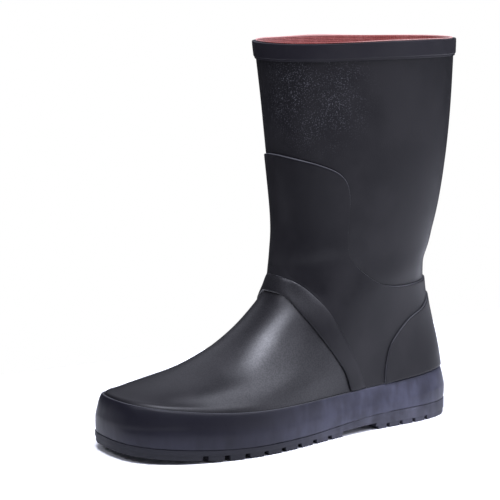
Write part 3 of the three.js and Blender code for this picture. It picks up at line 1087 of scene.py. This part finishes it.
@dataclass
class Outsole:
    """The lugged outsole, with the fine notches across its lugs.

    Attributes:
        slot: The record's slot of its finish; not used.
        finish: Its finish.
        notch_width: Side of the square bar that cuts a notch, in millimetres.
        notch_length: Length of that bar, in millimetres.
        first_lug: Place of the first lug's middle along the boot, in millimetres.
        lug_pitch: Distance from lug to lug, in millimetres.
        lugs: Number of lugs under the forefoot with notches.
        notch_spread: Distance of the two notches of a lug, in millimetres.
        flat_angle: Faces that meet at less than this angle are joined.
        edge_angle: Edges above this angle are rounded.
        edge_width: Width of the rounding, in millimetres.
    """

    slot: str = "outsole_rubber"
    finish: RubberFinish = field(
        default_factory=lambda: DustAndPaintedLightRubberFinish(
            "outsole_rubber",
            deep=(0.014, 0.014, 0.018, 1.0),
            pale_tint=(0.070, 0.070, 0.092, 1.0),
            roughness=0.58,
            cloud_size=14.0,
        )
    )
    notch_width: float = 1.7
    notch_length: float = 160.0
    first_lug: float = -93.4
    lug_pitch: float = 16.05
    lugs: int = 8
    notch_spread: float = 3.6
    flat_angle: float = 0.5
    edge_angle: float = 40.0
    edge_width: float = 0.3

    def _notches(self) -> Object:
        """Makes the bars that cut the notches."""
        mesh = bmesh.new()
        turn = Matrix.Rotation(math.radians(45.0), 4, "X")
        size = Matrix.Diagonal((self.notch_length, self.notch_width, self.notch_width, 1.0))
        for lug in range(self.lugs):
            for side in (-0.5, 0.5):
                along = self.first_lug + lug * self.lug_pitch + side * self.notch_spread
                bar = bmesh.ops.create_cube(mesh, size=1.0)["verts"]
                place = Matrix.Scale(MM, 4) @ Matrix.Translation((0.0, along, 0.0))
                bmesh.ops.transform(mesh, matrix=place @ turn @ size, verts=bar)
        return mesh_object(mesh, "notch_bars")

    def build(self, nodes: Nodes) -> Object:
        """Makes the piece.

        Args:
            nodes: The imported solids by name.

        Returns:
            The finished outsole.
        """
        blank = Blank(nodes["outsole"])
        bmesh.ops.dissolve_limit(
            blank.mesh,
            angle_limit=math.radians(self.flat_angle),
            verts=blank.mesh.verts,
            edges=blank.mesh.edges,
        )
        piece = blank.to_object("outsole_lugged")
        bars = self._notches()
        cut = piece.modifiers.new("notches", "BOOLEAN")
        cut.operation = "DIFFERENCE"
        cut.solver = "EXACT"
        cut.object = bars
        apply_modifiers(piece)
        bpy.data.objects.remove(bars)
        edges = piece.modifiers.new("edges", "BEVEL")
        edges.width = self.edge_width * MM
        edges.segments = 2
        edges.limit_method = "ANGLE"
        edges.angle_limit = math.radians(self.edge_angle)
        edges.harden_normals = True
        apply_modifiers(piece)
        return dress(piece, [self.finish.material()], ["outsole"])


# The studio


@dataclass(frozen=True)
class SoftBox:
    """A square soft light.

    Attributes:
        name: Its name.
        place: Where it stands, in metres.
        aim: What it shines at, in metres.
        size: Its side, in metres.
        power: Its power in watts.
        colour: Its colour.
    """

    name: str
    place: Point
    aim: Point
    size: float
    power: float
    colour: Point = (0.94, 0.965, 1.11)

    def build(self) -> None:
        """Makes the light."""
        lamp = bpy.data.lights.new(self.name, "AREA")
        lamp.shape = "SQUARE"
        lamp.size = self.size
        lamp.energy = self.power
        lamp.color = self.colour
        towards = Vector(self.aim) - Vector(self.place)
        turn = towards.to_track_quat("-Z", "Y").to_matrix().to_4x4()
        new_object(self.name, lamp).matrix_world = Matrix.Translation(self.place) @ turn


@dataclass(frozen=True)
class Studio:
    """The white table in its dark room, and the camera at the photograph's place.

    Attributes:
        camera_place: Where the camera stands, in metres.
        camera_turn: How it is turned, in degrees about X, Y and Z.
        lens: Its focal length, in millimetres.
        sensor: Width of its sensor, in millimetres.
        table_from: The table's corner beyond the toe, in metres.
        table_to: The table's corner beyond the heel, in metres.
        table_colour: Colour of the table.
        backdrop: Colour of the room as the camera sees it.
        room: Colour of the light that the room gives back.
        room_light: Brightness of that light.
        boxes: The soft lights.
    """

    camera_place: Point = (1.12586, -0.77904, 0.35549)
    camera_turn: Point = (80.9866, -0.226, 56.4321)
    lens: float = 132.88
    sensor: float = 36.0
    table_from: tuple[float, float] = (-0.28, -0.38)
    table_to: tuple[float, float] = (0.90, 1.15)
    table_colour: Colour = (0.96, 0.96, 0.97, 1.0)
    backdrop: Colour = (1.0, 1.0, 1.0, 1.0)
    room: Colour = (0.85, 0.87, 1.0, 1.0)
    room_light: float = 0.08
    boxes: tuple[SoftBox, ...] = (
        SoftBox("overhead_box", (0.50, 0.80, 1.5), (0.0, 0.15, 0.0), 1.5, 32.0),
        SoftBox("side_box", (1.4, 1.3, 0.8), (0.0, 0.05, 0.05), 1.5, 12.0),
        SoftBox("key_box", (0.28, -0.40, 1.5), (0.0, 0.0, 0.1), 0.55, 27.0),
        SoftBox("front_box", (0.0, -1.70, 1.5), (0.0, 0.0, 0.1), 0.45, 8.0),
        SoftBox("high_side_box", (1.45, 0.0, 1.5), (0.0, 0.0, 0.1), 0.8, 5.0),
        SoftBox("back_box", (-1.5, 0.4, 1.5), (0.0, 0.0, 0.1), 1.8, 6.0),
    )

    def _table(self) -> None:
        """Makes the table."""
        mesh = bmesh.new()
        (left, front), (right, back) = self.table_from, self.table_to
        bmesh.ops.create_grid(mesh, x_segments=1, y_segments=1, size=0.5)
        size = Matrix.Diagonal((right - left, back - front, 1.0, 1.0))
        place = Matrix.Translation(((left + right) / 2.0, (front + back) / 2.0, 0.0))
        bmesh.ops.transform(mesh, matrix=place @ size, verts=mesh.verts)
        table = mesh_object(mesh, "table")
        white = FinishNet("white_table").surface(
            Base_Color=self.table_colour, Roughness=0.9, Specular_IOR_Level=0.1
        )
        table.data.materials.append(white)

    def _camera(self) -> None:
        """Makes the camera."""
        data = bpy.data.cameras.new("photograph")
        data.sensor_width = self.sensor
        data.lens = self.lens
        data.clip_end = 200.0
        camera = new_object("photograph", data)
        camera.location = self.camera_place
        camera.rotation_euler = tuple(math.radians(turn) for turn in self.camera_turn)
        bpy.context.scene.camera = camera

    def _room(self) -> None:
        """Makes the room: a white backdrop, which sends only a little light to the boot."""
        world = bpy.data.worlds.new("room")
        world.use_nodes = True
        nodes, links = world.node_tree.nodes, world.node_tree.links
        seen = nodes.new("ShaderNodeLightPath").outputs["Is Camera Ray"]
        backdrop = nodes.new("ShaderNodeBackground")
        backdrop.inputs["Color"].default_value = self.backdrop
        light = nodes["Background"]
        light.inputs["Color"].default_value = self.room
        light.inputs["Strength"].default_value = self.room_light
        choice = nodes.new("ShaderNodeMixShader")
        for source, target in zip((seen, light.outputs[0], backdrop.outputs[0]), choice.inputs):
            links.new(source, target)
        links.new(choice.outputs[0], nodes["World Output"].inputs["Surface"])
        bpy.context.scene.world = world

    def build(self) -> None:
        """Makes the table, the room, the lights and the camera."""
        self._table()
        self._camera()
        self._room()
        for box in self.boxes:
            box.build()
        bpy.context.scene.view_settings.view_transform = "Standard"


# Putting the boot together


def first_wear() -> HandLife:
    """The creases of a hardly worn boot."""
    # Press, middle, direction across, width, reach and depth of each
    creases = (
        (Press.TROUGH, (33.0, -134.0, 24.5), (0.0, 0.0, 1.0), 2.4, 34.0, 0.45),
        (Press.TROUGH, (20.0, -3.0, 128.0), (0.0, -0.25, 1.0), 5.0, 46.0, 0.55),
        (Press.RIDGE, (18.0, -5.0, 140.0), (0.0, -0.15, 1.0), 7.0, 48.0, 0.35),
        (Press.TROUGH, (8.0, 128.0, 122.0), (0.0, 0.25, 1.0), 6.0, 44.0, 0.7),
        (Press.RIDGE, (6.0, 133.0, 137.0), (0.0, 0.2, 1.0), 7.0, 46.0, 0.4),
        (Press.TROUGH, (38.0, 52.0, 116.0), (0.1, 0.55, 0.85), 7.0, 38.0, 0.45),
        (Press.TROUGH, (-37.0, 50.0, 118.0), (0.1, 0.5, 0.87), 7.0, 38.0, 0.5),
        (Press.TROUGH, (14.0, -56.0, 69.0), (0.1, 0.85, 0.55), 8.0, 42.0, 0.12),
        (Press.RIDGE, (14.0, -42.0, 80.0), (0.1, 0.8, 0.6), 8.0, 40.0, 0.15),
        (Press.TROUGH, (-24.0, -50.0, 66.0), (-0.1, 0.85, 0.5), 7.0, 34.0, 0.25),
        (Press.RIDGE, (42.0, 41.0, 24.0), (0.0, 1.0, 0.0), 5.0, 26.0, 0.35),
        (Press.RIDGE, (39.0, 69.0, 24.0), (0.0, 1.0, 0.0), 4.0, 24.0, 0.3),
        (Press.RIDGE, (-31.0, 41.0, 24.0), (0.0, 1.0, 0.0), 5.0, 26.0, 0.35),
        (Press.RIDGE, (-31.0, 69.0, 24.0), (0.0, 1.0, 0.0), 4.0, 24.0, 0.3),
    )
    return HandLife(folds=tuple(SoftFold(*crease) for crease in creases))


@dataclass
class RubberBoot:
    """The whole boot.

    Attributes:
        nodes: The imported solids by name.
        life: Its creases.
    """

    nodes: Nodes
    life: HandLife = field(default_factory=first_wear)

    def build(self) -> None:
        """Makes all the pieces, from the ground up."""
        Outsole().build(self.nodes)
        Footbed().build(self.nodes)
        upper = Upper()
        upper.build(self.nodes, self.life)
        upper.build_lining(self.nodes, self.life)
        skin = surface_of(self.nodes["upper"])
        smooth = RubberFinish("overlay_rubber")
        # Paler rubber for the layers' steps: a painted highlight where their edges would catch the
        # light.
        cut = RubberFinish(
            "step_highlight_rubber", deep=(0.05, 0.05, 0.056, 1.0), pale_tint=(0.08, 0.08, 0.09, 1.0)
        )
        layers = (
            MouldedLayer(
                "foxing",
                "foxing_rubber",
                DustAndPaintedLightRubberFinish(
                    "foxing_rubber",
                    deep=(0.0065, 0.0062, 0.010, 1.0),
                    pale_tint=(0.054, 0.055, 0.082, 1.0),
                    cloud_size=22.0,
                    low_dust_and_painted_light=0.25,
                    swell_depth=0.5,
                ),
                edge_angle=50.0,
                step_highlight_finish=cut,
            ),
            MouldedLayer(
                "instep_band",
                "overlay_rubber",
                LegRubberFinish(
                    "band_rubber",
                    silky_place=(16.0, -6.0, 117.0),
                    silky_reach=44.0,
                    silky_weight=0.6,
                ),
                firmness=0.3,
                relaxed=2,
            ),
            MouldedLayer(
                "leg_overlay", "overlay_rubber", smooth, step_highlight_finish=cut, joins="instep_band"
            ),
            MouldedLayer(
                "heel_counter", "overlay_rubber", smooth, back_within=2.3, step_highlight_finish=cut
            ),
            MouldedLayer(
                "collar_band",
                "collar_rubber",
                RubberFinish("collar_rubber", deep=(0.011, 0.010, 0.014, 1.0), roughness=0.45),
            ),
        )
        for layer in layers:
            layer.build(self.nodes, skin, self.life)


def main() -> None:
    """Builds the boot in its studio."""
    logging.basicConfig(level=logging.INFO, format="%(name)s: %(message)s")
    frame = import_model()
    Studio().build()
    RubberBoot(frame["nodes"]).build()
    bpy.context.view_layer.update()


if __name__ == "__main__":
    main()
